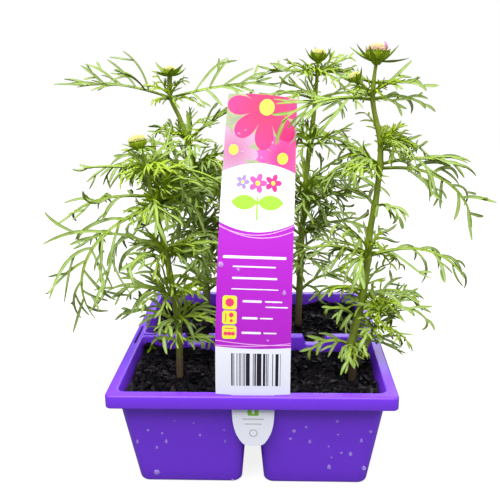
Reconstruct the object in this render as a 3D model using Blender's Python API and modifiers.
"""A punnet of cosmos seedlings: a four-cell plastic tray with potting mix, four plants in bud and a label.

The frame is in metres with +Z up. The origin is at the middle of the tray, on the surface it stands on,
and the front, where the label hangs in the rim, faces -Y.
"""
import math
import random

import bmesh
import bpy
from mathutils import Matrix, Vector

MM = 0.001

# Gap kept between pieces that touch on the real object
CLEARANCE = 0.3 * MM

# The tray
RIM_WIDTH = 148 * MM
RIM_DEPTH = 156 * MM
TRAY_HEIGHT = 58 * MM
SKIRT_HEIGHT = 7.2 * MM
WALL = 1.2 * MM
LIP = 5.7 * MM
RIDGE = 6.0 * MM
BASE_WIDTH = 122 * MM
BASE_DEPTH = 130 * MM
BASE_GAP = 12 * MM
RIM_CORNER = 3.2 * MM
CELL_CORNER = 5.0 * MM
CELL_FOOT = 2.2 * MM
NOTCH_TOP = 14.7 * MM
NOTCH_FLOOR = 10.2 * MM
NOTCH_DEPTH = 5.3 * MM
DRAIN_RADIUS = 4.0 * MM
SLOT_LENGTH = 26 * MM
SLOT_WIDTH = 1.5 * MM
RIDGE_SLOT = 8 * MM
OVERLAP = 0.6 * MM
ROUND_SIDES = 12
CELLS = {"front_left": (-1, -1), "front_right": (1, -1), "rear_left": (-1, 1), "rear_right": (1, 1)}

# The potting mix
SOIL_LEVEL = 49.0 * MM
SOIL_BUMP = 0.7 * MM
SOIL_HEAP = 2.2 * MM
SOIL_WAVES = (6.1 * MM, 5.3 * MM, 4.2 * MM)
SOIL_TILT = [(-2.4 * MM, 0.4 * MM), (0, 0.4 * MM), (0, 1.5 * MM), (0, 2.6 * MM)]
SOIL_STEPS = 7
STEM_HOLE_DEPTH = 40 * MM

# The label
LABEL_THICKNESS = 0.6 * MM
LABEL_WIDTH = 37.3 * MM
LABEL_TOP_WIDTH = 35.0 * MM
LABEL_TOP = 201 * MM
LABEL_LEAN_BACK = 47 * MM
LABEL_LEAN_RIGHT = 5 * MM
LABEL_CURL_BACK = 2.2
LABEL_CURL_RIGHT = 1.55
LABEL_TOP_ARCH = 1.0 * MM
LABEL_TOP_SLANT = 0.9 * MM
LABEL_SHIFT = 1.1 * MM
LABEL_SLOT_Y = -75.2 * MM
TONGUE_WIDTH = 21.5 * MM
TONGUE_TIP_WIDTH = 8.8 * MM
TONGUE_LENGTH = 29 * MM
TONGUE_STRAIGHT = 0.1
TONGUE_CURVE = 3.8
TONGUE_ROUND = 1.2 * MM
SHOULDER_RISE = 0.5 * MM
STRIP_ROWS = 12

# The plants
STEM_FOOT = 35 * MM
STEM_BASE_RADIUS = 2.0 * MM
STEM_TOP_RADIUS = 1.0 * MM
BLADE_THICKNESS = 0.7 * MM

# A leaf's shape. Widths are in millimetres, and places are shares of the rib's or the leaflet's length
RIB_WIDTH = 1.9
PINNA_WIDTH = 1.8
PINNA_NARROWING = 0.45
PINNA_ANGLE = 50
PINNA_ANGLE_FALL = 13
FIRST_PINNA = 0.27
LAST_PINNA = 0.87
LOBE_WIDTH = 1.6
LOBE_TURN = math.radians(33)
LOWER_LOBE = 0.48
LOWER_LOBE_AT = 0.52
UPPER_LOBE = 0.43
UPPER_LOBE_AT = 0.36
RIB_OVERSHOOT = 1.45
DROOP_CURVE = 1.4
LEAF_ROLL = 34
LOBE_SAG = 0.6

PURPLE = (0.19, 0.05, 0.62)
BARK = (0.012, 0.009, 0.008)
LEAF_GREEN = (0.16, 0.30, 0.07)
BUD_GREEN = (0.52, 0.56, 0.16)
BUD_PINK = (0.78, 0.52, 0.46)
LABEL_MAGENTA = (0.56, 0.05, 0.66)


def material(name, colour, roughness):
    """A plain surface of one colour."""
    finish = bpy.data.materials.new(name)
    finish.use_nodes = True
    shader = finish.node_tree.nodes["Principled BSDF"]
    shader.inputs["Base Color"].default_value = (*colour, 1)
    shader.inputs["Roughness"].default_value = roughness
    shader.inputs["Metallic"].default_value = 0
    finish.diffuse_color = (*colour, 1)
    return finish


def new_object(name, mesh_data, collection):
    """An object at the origin, in the given collection."""
    item = bpy.data.objects.new(name, mesh_data)
    collection.objects.link(item)
    return item


def finished(mesh, name, collection):
    """Turn a bmesh into an object, with its faces pointing out."""
    bmesh.ops.recalc_face_normals(mesh, faces=mesh.faces[:])
    data = bpy.data.meshes.new(name)
    mesh.to_mesh(data)
    mesh.free()
    return new_object(name, data, collection)


def guide(name):
    """A collection for cutters and for pieces that are about to be fused."""
    group = bpy.data.collections.new(name)
    bpy.context.scene.collection.children.link(group)
    return group


def settle(item):
    """Replace an object's mesh by the result of its modifiers."""
    graph = bpy.context.evaluated_depsgraph_get()
    data = bpy.data.meshes.new_from_object(item.evaluated_get(graph))
    item.modifiers.clear()
    item.data = data


def combine(item, group, operation, solver="EXACT"):
    """Fuse a collection's objects to the item or cut them from it, then remove them."""
    boolean = item.modifiers.new(operation.title(), "BOOLEAN")
    boolean.operation = operation
    boolean.operand_type = "COLLECTION"
    boolean.collection = group
    boolean.solver = solver
    settle(item)
    for tool in list(group.objects):
        bpy.data.objects.remove(tool)
    bpy.data.collections.remove(group)


def tapered_block(name, lower, upper, collection, corner=0.0, foot=0.0):
    """A box between two level rectangles (x0, x1, y0, y1, z), with rounded uprights and a rounded foot."""
    mesh = bmesh.new()
    bmesh.ops.create_cube(mesh, size=2)
    for vertex in mesh.verts:
        x0, x1, y0, y1, z = upper if vertex.co.z > 0 else lower
        vertex.co = (x1 if vertex.co.x > 0 else x0, y1 if vertex.co.y > 0 else y0, z)
    if corner:
        uprights = [e for e in mesh.edges if abs(e.verts[0].co.z - e.verts[1].co.z) > corner]
        bmesh.ops.bevel(mesh, geom=uprights, offset=corner, segments=3, profile=0.5, affect="EDGES")
    if foot:
        level = lower[4] + MM / 100
        ring = [e for e in mesh.edges if all(v.co.z < level for v in e.verts)]
        bmesh.ops.bevel(mesh, geom=ring, offset=foot, segments=2, profile=0.5, affect="EDGES")
    return finished(mesh, name, collection)


def cell_section(side_x, side_y, height, inset=0.0):
    """The rectangle (x0, x1, y0, y1, z) of one cell's outside at a height, moved in by an inset."""
    share = height / TRAY_HEIGHT
    near = BASE_GAP / 2 + (RIDGE / 2 - WALL - BASE_GAP / 2) * share + inset
    far_x = BASE_WIDTH / 2 + (RIM_WIDTH / 2 - LIP + WALL - BASE_WIDTH / 2) * share - inset
    far_y = BASE_DEPTH / 2 + (RIM_DEPTH / 2 - LIP + WALL - BASE_DEPTH / 2) * share - inset
    x0, x1 = sorted((side_x * near, side_x * far_x))
    y0, y1 = sorted((side_y * near, side_y * far_y))
    return x0, x1, y0, y1, height


def cell_centre(side_x, side_y):
    """The middle of a cell's opening."""
    x0, x1, y0, y1, _ = cell_section(side_x, side_y, TRAY_HEIGHT, WALL)
    return (x0 + x1) / 2, (y0 + y1) / 2


def ridge_prism(name, centre, along_x, reach, depth, extra, top, collection):
    """A trapezoid block across a ridge, for the trough in it or for the notch above the trough."""
    floor = TRAY_HEIGHT - depth
    slope = (NOTCH_TOP - NOTCH_FLOOR) / 2 / NOTCH_DEPTH
    lower_half = NOTCH_FLOOR / 2 + extra
    upper_half = lower_half + slope * (top - floor)
    sections = []
    for half, height in ((lower_half, floor), (upper_half, top)):
        if along_x:
            sections.append((centre - half, centre + half, -reach, reach, height))
        else:
            sections.append((-reach, reach, centre - half, centre + half, height))
    return tapered_block(name, sections[0], sections[1], collection)


def make_punnet(collection, finish):
    """The tray: a rim cap with a skirt, four tapered cells, notched ridges, slots and drain holes."""
    half_x, half_y = RIM_WIDTH / 2, RIM_DEPTH / 2
    skirt_foot = TRAY_HEIGHT - SKIRT_HEIGHT
    punnet = tapered_block("punnet", (-half_x, half_x, -half_y, half_y, skirt_foot),
                           (-half_x, half_x, -half_y, half_y, TRAY_HEIGHT), collection, corner=RIM_CORNER)
    hollow = guide("rim_hollow")
    inner_x, inner_y = half_x - WALL, half_y - WALL
    tapered_block("hollow", (-inner_x, inner_x, -inner_y, inner_y, skirt_foot - WALL),
                  (-inner_x, inner_x, -inner_y, inner_y, TRAY_HEIGHT - WALL), hollow,
                  corner=RIM_CORNER - WALL)
    combine(punnet, hollow, "DIFFERENCE")

    added = guide("cells")
    for name, (side_x, side_y) in CELLS.items():
        lower, upper = (cell_section(side_x, side_y, height) for height in (0, TRAY_HEIGHT - OVERLAP))
        tapered_block(name, lower, upper, added, corner=CELL_CORNER, foot=CELL_FOOT)
    middle_x, middle_y = cell_centre(1, 1)
    notches = [(middle_x, True), (-middle_x, True), (middle_y, False), (-middle_y, False)]
    for index, (centre, along_x) in enumerate(notches):
        ridge_prism(f"trough_{index}", centre, along_x, RIDGE * 0.75, NOTCH_DEPTH + WALL, WALL,
                    TRAY_HEIGHT - OVERLAP, added)
    combine(punnet, added, "UNION")

    cut = guide("cuts")
    for name, (side_x, side_y) in CELLS.items():
        tapered_block(name, cell_section(side_x, side_y, WALL, WALL),
                      cell_section(side_x, side_y, TRAY_HEIGHT + WALL, WALL), cut,
                      corner=CELL_CORNER - WALL, foot=CELL_FOOT - WALL)
    for index, (centre, along_x) in enumerate(notches):
        ridge_prism(f"notch_{index}", centre, along_x, RIDGE, NOTCH_DEPTH, 0, TRAY_HEIGHT + WALL, cut)
    below, above = TRAY_HEIGHT - 2 * WALL, TRAY_HEIGHT + WALL
    lip_x, lip_y = -LABEL_SLOT_Y - (half_y - half_x), -LABEL_SLOT_Y
    slots = [(0, -lip_y, SLOT_LENGTH, SLOT_WIDTH), (0, lip_y, SLOT_LENGTH, SLOT_WIDTH),
             (-lip_x, 0, SLOT_WIDTH, SLOT_LENGTH), (lip_x, 0, SLOT_WIDTH, SLOT_LENGTH)]
    ridge_end = half_x - LIP - RIDGE_SLOT / 2
    slots += [(side * ridge_end, 0, RIDGE_SLOT, SLOT_WIDTH) for side in (-1, 1)]
    for index, (x, y, width, depth) in enumerate(slots):
        section = (x - width / 2, x + width / 2, y - depth / 2, y + depth / 2)
        tapered_block(f"slot_{index}", (*section, below), (*section, above), cut)
    for name, (side_x, side_y) in CELLS.items():
        x0, x1, y0, y1, _ = cell_section(side_x, side_y, 0)
        drain = bmesh.new()
        middle = Matrix.Translation(((x0 + x1) / 2, (y0 + y1) / 2, 0))
        bmesh.ops.create_cone(drain, cap_ends=True, segments=ROUND_SIDES, radius1=DRAIN_RADIUS,
                              radius2=DRAIN_RADIUS, depth=6 * WALL, matrix=middle)
        finished(drain, f"drain_{name}", cut)
    combine(punnet, cut, "DIFFERENCE")
    punnet.data.materials.clear()
    punnet.data.materials.append(finish)
    return punnet


def rounded_in(x, y, section, corner):
    """Move a point that lies in a rectangle's corner onto the corner's arc."""
    x0, x1, y0, y1, _ = section
    centre_x = min(max(x, x0 + corner), x1 - corner)
    centre_y = min(max(y, y0 + corner), y1 - corner)
    reach = math.hypot(x - centre_x, y - centre_y)
    if reach <= corner:
        return x, y
    return centre_x + (x - centre_x) * corner / reach, centre_y + (y - centre_y) * corner / reach


def soil_height(x, y, share_x, share_y, number):
    """The potting mix's surface: a tilt, three waves, and heaps where it is pressed into the corners."""
    across, deep, slanting = SOIL_WAVES
    phase = 1.0 + 1.7 * number
    tilt_x, tilt_y = SOIL_TILT[number]
    tilt = tilt_x * share_x + tilt_y * share_y
    waves = math.sin(x / across + phase) + math.sin(y / deep + 2 * phase)
    waves += math.sin((x + y) / slanting - phase)
    return SOIL_LEVEL + tilt + SOIL_BUMP * waves + SOIL_HEAP * (share_x * share_y) ** 2


def make_soil(name, cell, number, stem_x, stem_y, collection, finish):
    """One plug of potting mix, which fills its cell and has a plain hole for the stem."""
    side_x, side_y = CELLS[cell]
    inset = WALL + CLEARANCE
    corner = CELL_CORNER - inset
    mesh = bmesh.new()
    bmesh.ops.create_grid(mesh, x_segments=SOIL_STEPS, y_segments=SOIL_STEPS, size=1)
    shares = {vertex: (vertex.co.x, vertex.co.y) for vertex in mesh.verts}

    def lay(vertex, share, section, edge, level):
        x0, x1, y0, y1, _ = section
        x = (x0 + x1) / 2 + share[0] * (x1 - x0) / 2
        y = (y0 + y1) / 2 + share[1] * (y1 - y0) / 2
        x, y = rounded_in(x, y, section, edge)
        vertex.co = (x, y, level if level is not None else soil_height(x, y, share[0], share[1], number))

    rim = [e for e in mesh.edges if e.is_boundary]
    rings = [shares]
    for _ in range(2):
        grown = bmesh.ops.extrude_edge_only(mesh, edges=rim)["geom"]
        rim = [g for g in grown if isinstance(g, bmesh.types.BMEdge) and g.is_boundary]
        rings.append({v: (v.co.x, v.co.y) for v in {v for e in rim for v in e.verts}})
    bmesh.ops.holes_fill(mesh, edges=rim, sides=0)
    floor = WALL + CLEARANCE
    foot = CELL_FOOT - WALL
    top_section = cell_section(side_x, side_y, SOIL_LEVEL, inset)
    for vertex, share in rings[0].items():
        lay(vertex, share, top_section, corner, None)
    for vertex, share in rings[1].items():
        lay(vertex, share, cell_section(side_x, side_y, floor + foot, inset), corner, floor + foot)
    for vertex, share in rings[2].items():
        lay(vertex, share, cell_section(side_x, side_y, floor, inset + foot), corner - foot / 2, floor)
    soil = finished(mesh, name, collection)

    cut = guide("stem_hole")
    hole = bmesh.new()
    radius = STEM_BASE_RADIUS + 1.5 * CLEARANCE
    place = Matrix.Translation((stem_x, stem_y, STEM_FOOT - CLEARANCE + STEM_HOLE_DEPTH / 2))
    bmesh.ops.create_cone(hole, cap_ends=True, segments=ROUND_SIDES, radius1=radius, radius2=radius,
                          depth=STEM_HOLE_DEPTH, matrix=place)
    finished(hole, "hole", cut)
    combine(soil, cut, "DIFFERENCE")
    soil.data.materials.clear()
    soil.data.materials.append(finish)
    return soil


def label_centre(height):
    """The middle of the label at a height: upright in the slot, then leaning back and to the right."""
    share = max(0.0, (height - TRAY_HEIGHT) / (LABEL_TOP - TRAY_HEIGHT))
    x = LABEL_SHIFT + LABEL_LEAN_RIGHT * share ** LABEL_CURL_RIGHT
    return x, LABEL_SLOT_Y + LABEL_LEAN_BACK * share ** LABEL_CURL_BACK


def label_half_width(height):
    """Half the label's width: the tongue below its shoulders, the strip above them."""
    if height > TRAY_HEIGHT + SHOULDER_RISE:
        share = (height - TRAY_HEIGHT) / (LABEL_TOP - TRAY_HEIGHT)
        return (LABEL_WIDTH + (LABEL_TOP_WIDTH - LABEL_WIDTH) * share ** 2) / 2
    drop = min(1.0, (TRAY_HEIGHT - height) / TONGUE_LENGTH)
    taper = max(0.0, (drop - TONGUE_STRAIGHT) / (1 - TONGUE_STRAIGHT)) ** TONGUE_CURVE
    return (TONGUE_WIDTH + (TONGUE_TIP_WIDTH - TONGUE_WIDTH) * taper) / 2


def make_label(collection, finish):
    """The label: a thin strip worked out row by row, with its tongue through the front slot."""
    tip = TRAY_HEIGHT - TONGUE_LENGTH
    shoulder = TRAY_HEIGHT + CLEARANCE
    rows = [tip, tip + TONGUE_ROUND, *(tip + TONGUE_LENGTH * share for share in (0.12, 0.25, 0.45, 0.7)), shoulder]
    foot = shoulder + SHOULDER_RISE
    rows += [foot + (LABEL_TOP - foot) * row / STRIP_ROWS for row in range(STRIP_ROWS + 1)]
    mesh = bmesh.new()
    bmesh.ops.create_grid(mesh, x_segments=2, y_segments=len(rows) - 1, size=1)
    for vertex in mesh.verts:
        row = round((vertex.co.y + 1) / 2 * (len(rows) - 1))
        across = vertex.co.x
        height = rows[row]
        half = label_half_width(height)
        if row == 0:
            half -= TONGUE_ROUND
        x, y = label_centre(height)
        if row == len(rows) - 1:
            height += LABEL_TOP_ARCH * (1 - across ** 2) - LABEL_TOP_SLANT * across
        vertex.co = (x + across * half, y, height)
    label = finished(mesh, "label", collection)
    wall = label.modifiers.new("Thickness", "SOLIDIFY")
    wall.thickness = LABEL_THICKNESS
    wall.offset = 0
    settle(label)
    label.data.materials.clear()
    label.data.materials.append(finish)
    return label


def smooth_path(points, steps):
    """Points of a Catmull-Rom curve through the given points, with a number of steps for each span."""
    ends = [points[0] * 2 - points[1], *points, points[-1] * 2 - points[-2]]
    path = []
    for before, start, end, after in zip(ends, ends[1:], ends[2:], ends[3:]):
        for step in range(steps):
            t = step / steps
            bend = (2 * before - 5 * start + 4 * end - after) * t ** 2
            twist = (3 * start - before - 3 * end + after) * t ** 3
            path.append(0.5 * (2 * start + (end - before) * t + bend + twist))
    path.append(points[-1].copy())
    return path


def tube(name, path, radii, resolution, collection):
    """A round stem along a path, with capped ends, as one closed mesh."""
    curve = bpy.data.curves.new(name, "CURVE")
    curve.dimensions = "3D"
    curve.bevel_depth = MM
    curve.bevel_resolution = resolution
    curve.use_fill_caps = True
    spline = curve.splines.new("POLY")
    spline.points.add(len(path) - 1)
    for point, place, radius in zip(spline.points, path, radii):
        point.co = (*place, 1)
        point.radius = radius / MM
    item = new_object(name, curve, collection)
    graph = bpy.context.evaluated_depsgraph_get()
    data = bpy.data.meshes.new_from_object(item.evaluated_get(graph))
    mesh = bmesh.new()
    mesh.from_mesh(data)
    bmesh.ops.remove_doubles(mesh, verts=mesh.verts[:], dist=MM / 1000)
    bpy.data.objects.remove(item)
    return finished(mesh, name, collection)


def turned(name, profile, place, sides, collection):
    """A profile of (radius, height) points, from top to bottom, turned about an axis."""
    mesh = bmesh.new()
    verts = [mesh.verts.new((radius, 0, height)) for radius, height in profile]
    for first, second in zip(verts, verts[1:]):
        mesh.edges.new((first, second))
    data = bpy.data.meshes.new(name)
    mesh.to_mesh(data)
    mesh.free()
    item = new_object(name, data, collection)
    screw = item.modifiers.new("Turn", "SCREW")
    screw.steps = sides
    screw.render_steps = sides
    screw.use_merge_vertices = True
    screw.merge_threshold = MM / 100
    settle(item)
    item.data.transform(place)
    return item


def pinna(base, angle, length, lower_lobe, upper_lobe):
    """Edge points of one leaflet: out along its lower side to the tip, and back along its upper side.

    A leaflet is a strip that narrows to a point. Each side may carry one lobe, which turns away from it.
    """
    along = Vector((math.cos(angle), math.sin(angle)))
    aside = Vector((-along.y, along.x))

    def edge(share, side):
        half_width = PINNA_WIDTH / 2 * (1 - PINNA_NARROWING * share)
        return base + along * share * length + aside * side * half_width

    def lobe(share, side, reach):
        turn = angle + side * LOBE_TURN
        spread = LOBE_WIDTH / 2 / math.sin(LOBE_TURN) / length
        tip = base + along * share * length + Vector((math.cos(turn), math.sin(turn))) * reach
        return [edge(share - spread, side), tip, edge(share + spread, side)]

    foot = PINNA_WIDTH / 2 / math.sin(angle)
    points = [base - Vector((foot, 0))]
    if lower_lobe:
        points += lobe(LOWER_LOBE_AT, 1, lower_lobe)
    points.append(base + along * length)
    if upper_lobe:
        points += reversed(lobe(UPPER_LOBE_AT, -1, upper_lobe))
    points.append(base + Vector((foot, 0)))
    return points


def leaf_outline(length, pairs, draw):
    """The edge of a flat leaf that is cut to the rib, in millimetres, as (along, across, lift) points.

    The rib runs along the first axis from the stem. Leaflets stand opposite each other, shorter towards
    the tip, and the lower ones carry lobes of their own. Lift says how steeply a leaflet leaves the plane.
    """
    gap = (LAST_PINNA - FIRST_PINNA) * length / (pairs - 1)
    reach = min(0.42 * length, 8 + 0.27 * length)
    sides = []
    for mirror in (1, -1):
        side = []
        for order in range(pairs):
            share = order / (pairs - 1)
            start = FIRST_PINNA * length + gap * order + draw.uniform(-0.6, 0.6) + 0.6 * mirror
            angle = math.radians(PINNA_ANGLE - PINNA_ANGLE_FALL * share + draw.uniform(-3, 3))
            size = reach * (0.92 - 0.50 * share + 0.35 * share * (1 - share)) * draw.uniform(0.9, 1.1)
            cuts = pairs - 1 - order
            lower = LOWER_LOBE * size if cuts >= 1 else 0
            upper = UPPER_LOBE * size if cuts >= 2 else 0
            lift = draw.uniform(-0.15, 0.45)
            half_rib = RIB_WIDTH / 2 * (1 - 0.4 * share)
            for point in pinna(Vector((start, half_rib)), angle, size, lower, upper):
                side.append((point.x, mirror * point.y, lift))
        sides.append(side)
    stalk = RIB_WIDTH / 2
    return [(0, stalk, 0), *sides[0], (length, 0, 0), *reversed(sides[1]), (0, -stalk, 0)]


def leaf(name, root, azimuth, plan, draw, collection):
    """One arched blade: its outline is cut flat, split into triangles, bent along the rib and thickened.

    The plan is the leaf's length, rise and droop and, where it matters, how far it rolls about its rib.
    """
    length, rise, droop, *given = plan
    outline = leaf_outline(length, pinna_pairs(length), draw)
    mesh = bmesh.new()
    edge = [mesh.verts.new((along, across, 0)) for along, across, _ in outline]
    face = mesh.faces.new(edge)
    cut = bmesh.ops.triangulate(mesh, faces=[face], ngon_method="BEAUTY")
    bmesh.ops.beautify_fill(mesh, faces=cut["faces"], edges=cut["edges"], method="AREA")

    swerve = math.radians(draw.uniform(-14, 14))
    usual = LEAF_ROLL * math.cos(math.radians(azimuth)) + draw.uniform(-12, 12)
    roll = math.radians(given[0] if given else usual)
    spot = Vector((0, 0, 0))
    frames = []
    for index in range(int(RIB_OVERSHOOT * length) + 2):
        share = index / length
        tilt = math.radians(rise - droop * min(share, 1.25) ** DROOP_CURVE)
        heading = math.radians(azimuth) + swerve * share
        outward = Vector((math.cos(heading), math.sin(heading), 0))
        forward = outward * math.cos(tilt) + Vector((0, 0, math.sin(tilt)))
        flat_side = Vector((-math.sin(heading), math.cos(heading), 0))
        normal = forward.cross(flat_side)
        lean = roll * min(2 * share, 1)
        side = flat_side * math.cos(lean) + normal * math.sin(lean)
        frames.append((spot.copy(), side, forward.cross(side)))
        spot += forward
    for vertex, (along, across, lift) in zip(edge, outline):
        index = max(int(along), 0)
        part = max(along - index, 0.0)
        first, second = frames[index], frames[index + 1]
        middle = first[0].lerp(second[0], part)
        side = first[1].lerp(second[1], part)
        normal = first[2].lerp(second[2], part)
        raised = lift * abs(across) - LOBE_SAG * across ** 2 / length
        vertex.co = Vector(root) + (middle + side * across + normal * raised) * MM
    item = finished(mesh, name, collection)
    wall = item.modifiers.new("Thickness", "SOLIDIFY")
    wall.thickness = BLADE_THICKNESS
    wall.offset = 0
    return item


def bract(name, place, angle, radius, length, width, rise, curl, collection):
    """One narrow green bract: a lance-shaped blade that spreads from under the bud and turns up past it."""
    shape = ((0, 0.7), (0.5, 1.0), (1, 0))
    half = [(share * length, width / 2 * part) for share, part in shape]
    outline = half + [(along, -across) for along, across in reversed(half[:-1])]
    mesh = bmesh.new()
    edge = [mesh.verts.new((along, across, 0)) for along, across in outline]
    face = mesh.faces.new(edge)
    bmesh.ops.triangulate(mesh, faces=[face])
    turn = Matrix.Rotation(angle, 4, "Z")
    for vertex in edge:
        along, across = vertex.co.x, vertex.co.y
        past = max(0.0, (along - radius) / (length - radius))
        height = math.tan(math.radians(rise)) * along - 0.8 * radius + curl * past ** 2
        vertex.co = place @ turn @ (Vector((along, across, height)) * MM)
    item = finished(mesh, name, collection)
    wall = item.modifiers.new("Thickness", "SOLIDIFY")
    wall.thickness = BLADE_THICKNESS
    wall.offset = 0
    return item


def bud_place(path):
    """The frame of a bud at a stem's end, with its axis part way between the stem's and upright."""
    axis = ((path[-1] - path[-2]).normalized() + Vector((0, 0, 1))).normalized()
    return Matrix.Translation(path[-1]) @ Vector((0, 0, 1)).rotation_difference(axis).to_matrix().to_4x4()


def make_bud(name, path, radius, bracts, collection, parts, finish):
    """A bud: the green cup and its bracts go with the plant, the domed head is a piece of its own."""
    place = bud_place(path)
    cup = [(0, 0), (0.92 * radius, 0), (0.96 * radius, -0.12 * radius), (0.62 * radius, -0.55 * radius),
           (1.1, -0.95 * radius), (0, -0.95 * radius)]
    turned(f"{name}_cup", [(r * MM, h * MM) for r, h in cup], place, 10, collection)
    length, width, rise, curl = bracts
    count = 8
    for index in range(count):
        size = length * (1 if index % 2 else 0.86)
        angle = math.tau * index / count + 0.3
        bract(f"{name}_bract_{index}", place, angle, radius, size, width, rise, curl, collection)
    head = [(0, 0.95 * radius), (0.42 * radius, 0.88 * radius), (0.80 * radius, 0.62 * radius),
            (radius, 0.25 * radius), (0.88 * radius, 0.3), (0, 0.3)]
    dome = turned(name, [(r * MM, h * MM) for r, h in head], place, 12, parts)
    dome.data.materials.append(finish)
    return dome


# Each plant, in millimetres and degrees: how deep in the tray it stands, the line of its stem as (x, z),
# its bud and its leaf pairs. A bud is its radius, and the length, width, rise and upturn of its bracts.
# A leaf pair is (height, azimuth, one leaf, the leaf opposite), and a leaf is (length, rise, droop) and,
# where it is set, its roll.
PLANTS = {
    "front_left": {
        "depth": -39,
        "stem": [(-41, 54), (-40.5, 77), (-43, 104), (-47.5, 133), (-51.5, 152), (-53, 168), (-57, 179.5)],
        "bud": (4.8, (9, 1.8, 8, -1.5)),
        "pairs": [(70, 168, (20, 25, 95), (21, 35, 80)), (82, 178, (33, 32, 62), (23, 36, 95)),
                  (83, 262, (24, 30, 80), (26, 50, 80)), (96, 196, (38, 38, 70), (38, 34, 75)),
                  (117, 235, (34, 38, 78), (40, 40, 70)),
                  (119, 174, (46, 40, 70, -40), (48, 36, 88, 30)),
                  (146, 200, (76, -14, 104, -50), (48, 32, 78, 25)),
                  (149, 104, (40, 42, 60), (34, 20, 70)), (152, 174, (50, 2, 40, -45), (26, 40, 60)),
                  (166, 181, (32, 8, 16, -20), (52, 6, 66, 15))],
    },
    "front_right": {
        "depth": -39,
        "stem": [(54.5, 54), (53.5, 69), (57, 86), (60, 108), (61.5, 134), (64, 152), (65, 177), (60.3, 200),
                 (61.7, 221.3)],
        "bud": (5.3, (11.8, 2.2, 18, 1.0)),
        "pairs": [(69, 200, (27, 32, 85), (33, 12, 30, 30)), (70, 262, (22, 15, 80), (22, 45, 80)),
                  (84, 210, (22, 50, 60), (28, 24, 80)), (97, 188, (28, 42, 95), (34, 22, 85)),
                  (117, 250, (34, 30, 78), (36, 40, 70)),
                  (119.5, 178, (46, 26, 80, -25), (54, 20, 76, 35)),
                  (146, 300, (20, 30, 90), (30, 34, 75)),
                  (166, 184, (34, 18, 85, -20), (63, 2, 80, 42)),
                  (168, 190, (20, 30, 80), (42, 12, 36, 30)),
                  (200, 192, (47, 8, 44, -30), (27, 12, 50, 50)),
                  (208, 176, (16, 20, 30), (24, 4, 20, 50))],
    },
    "rear_left": {
        "depth": 39,
        "stem": [(-33, 54), (-34, 100), (-37, 128), (-40.5, 163), (-45.8, 183), (-51.5, 197), (-51.2, 212)],
        "bud": (3.4, (10.5, 2.0, 12, 1.0)),
        "pairs": [(72, 170, (34, 45, 90), (30, 45, 80)), (90, 82, (41, 40, 75), (36, 45, 75)),
                  (110, 176, (54, 38, 80), (38, 42, 70)), (133, 84, (42, 38, 74), (40, 40, 75)),
                  (150, 172, (54, 36, 80), (44, 25, 62, 25)),
                  (168, 98, (36, 36, 60), (26, 10, 60)),
                  (171, 176, (21, 34, 30, -10), (37, 42, 30, 15)),
                  (197, 178, (66, 16, 26, -45), (58, 13, 12, 60))],
    },
    "rear_right": {
        "depth": 39,
        "stem": [(27, 54), (29, 112), (31.5, 150), (34, 171), (36, 192), (37.2, 209), (37.8, 220)],
        "bud": (4.4, (9.5, 2.0, 30, 2.5)),
        "pairs": [(72, 190, (22, 45, 80), (38, 45, 90)), (92, 98, (41, 38, 75), (36, 45, 75)),
                  (110, 176, (28, 40, 70), (48, 35, 78, 30)), (128, 84, (42, 38, 70), (38, 42, 75)),
                  (141, 178, (30, 42, 55), (50, 30, 78, 35)), (164, 96, (40, 34, 70), (32, 34, 70)),
                  (172, 170, (26, 35, 60), (30, 10, 80, 20)),
                  (195, 184, (33, 20, 44, -45), (34, 18, 42, 45)),
                  (209, 186, (31, 16, 36, -40), (26, 20, 54, 40))],
    },
}

# What else grows on the front right plant: a leafy shoot from its foot and a second bud on a thin stalk
SIDE_SHOOT = [(54, -39, 56), (60, -40.2, 66), (65, -41.4, 78), (68, -42.2, 90)]
SIDE_SHOOT_PAIRS = [(80, 62, (22, 30, 80), (22, 30, 85)), (89, 345, (27, 30, 90), (20, 50, 80))]
SIDE_BUD_STALK = [(60.5, -39, 201), (56, -40.7, 206), (51, -42.2, 210.5)]
SIDE_BUD_STALK_RADIUS = 0.8 * MM
SIDE_BUD = (2.8, (6.4, 1.6, 26, 1.5))


def pinna_pairs(length):
    """How many pairs of leaflets a leaf of some length carries."""
    if length < 28:
        return 2
    return 3 if length < 50 else 4


def on_stem(path, height):
    """The point of a stem's path at a height."""
    for first, second in zip(path, path[1:]):
        if first.z <= height <= second.z:
            return first.lerp(second, (height - first.z) / (second.z - first.z))
    return path[-1]


def leafy_stem(name, path, pairs, radii, draw, group):
    """A stem with its opposite leaves, as loose solids in one collection."""
    tube(f"{name}_stem", path, radii, 2, group)
    for number, (height, azimuth, *leaves) in enumerate(pairs):
        root = on_stem(path, height * MM)
        for half, plan in enumerate(leaves):
            leaf(f"{name}_leaf_{number}_{half}", root, azimuth + 180 * half, plan, draw, group)


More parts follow.
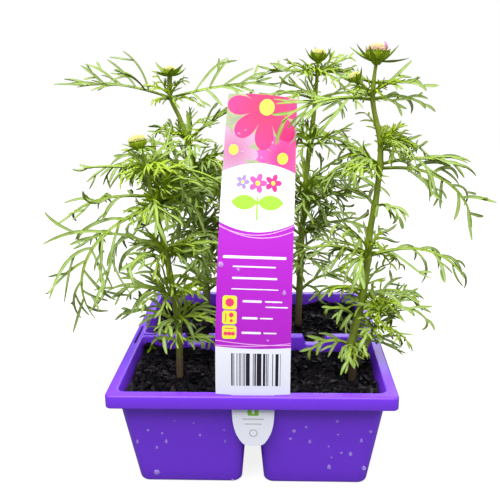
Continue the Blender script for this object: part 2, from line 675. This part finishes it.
def make_plant(cell, order, collection, leaf_finish, bud_finish, side_bud_finish):
    """One seedling, fused into a single solid, and the heads of its buds."""
    plan = PLANTS[cell]
    depth = plan["depth"] * MM
    draw = random.Random(41 + order)
    group = guide(f"plant_{cell}_pieces")
    line = [Vector((x * MM, depth, z * MM)) for x, z in plan["stem"]]
    foot = Vector((line[0].x, depth, STEM_FOOT))
    path = [foot, *smooth_path(line, 2)]
    span = path[-1].z - path[1].z
    radii = [STEM_BASE_RADIUS + (STEM_TOP_RADIUS - STEM_BASE_RADIUS) * max(0.0, (p.z - path[1].z) / span)
             for p in path]
    leafy_stem(cell, path, plan["pairs"], radii, draw, group)
    radius, bracts = plan["bud"]
    make_bud(f"bud_{cell}", path, radius, bracts, group, collection, bud_finish)
    if cell == "front_right":
        shoot = smooth_path([Vector(place) * MM for place in SIDE_SHOOT], 2)
        taper = [(1.4 - 0.6 * index / (len(shoot) - 1)) * MM for index in range(len(shoot))]
        leafy_stem("side_shoot", shoot, SIDE_SHOOT_PAIRS, taper, draw, group)
        stalk = smooth_path([Vector(place) * MM for place in SIDE_BUD_STALK], 2)
        tube("side_bud_stalk", stalk, [SIDE_BUD_STALK_RADIUS] * len(stalk), 1, group)
        radius, bracts = SIDE_BUD
        make_bud("bud_front_right_side", stalk, radius, bracts, group, collection, side_bud_finish)
    stem = group.objects[f"{cell}_stem"]
    collection.objects.link(stem)
    group.objects.unlink(stem)
    stem.name = f"plant_{cell}"
    combine(stem, group, "UNION", "MANIFOLD")
    stem.data.materials.clear()
    stem.data.materials.append(leaf_finish)
    return stem


for stale in list(bpy.data.objects):
    bpy.data.objects.remove(stale)

parts = guide("cosmos_punnet")
plastic = material("purple_plastic", PURPLE, 0.35)
bark = material("composted_bark", BARK, 0.9)
leaf_skin = material("leaf_green", LEAF_GREEN, 0.5)
green_bud = material("bud_yellow_green", BUD_GREEN, 0.6)
pink_bud = material("bud_pink", BUD_PINK, 0.6)
label_plastic = material("label_plastic", LABEL_MAGENTA, 0.35)

make_punnet(parts, plastic)
for number, cell in enumerate(CELLS):
    planted = PLANTS[cell]
    make_soil(f"soil_{cell}", cell, number, planted["stem"][0][0] * MM, planted["depth"] * MM, parts, bark)
    bud = pink_bud if cell == "front_right" else green_bud
    make_plant(cell, number, parts, leaf_skin, bud, green_bud)
make_label(parts, label_plastic)
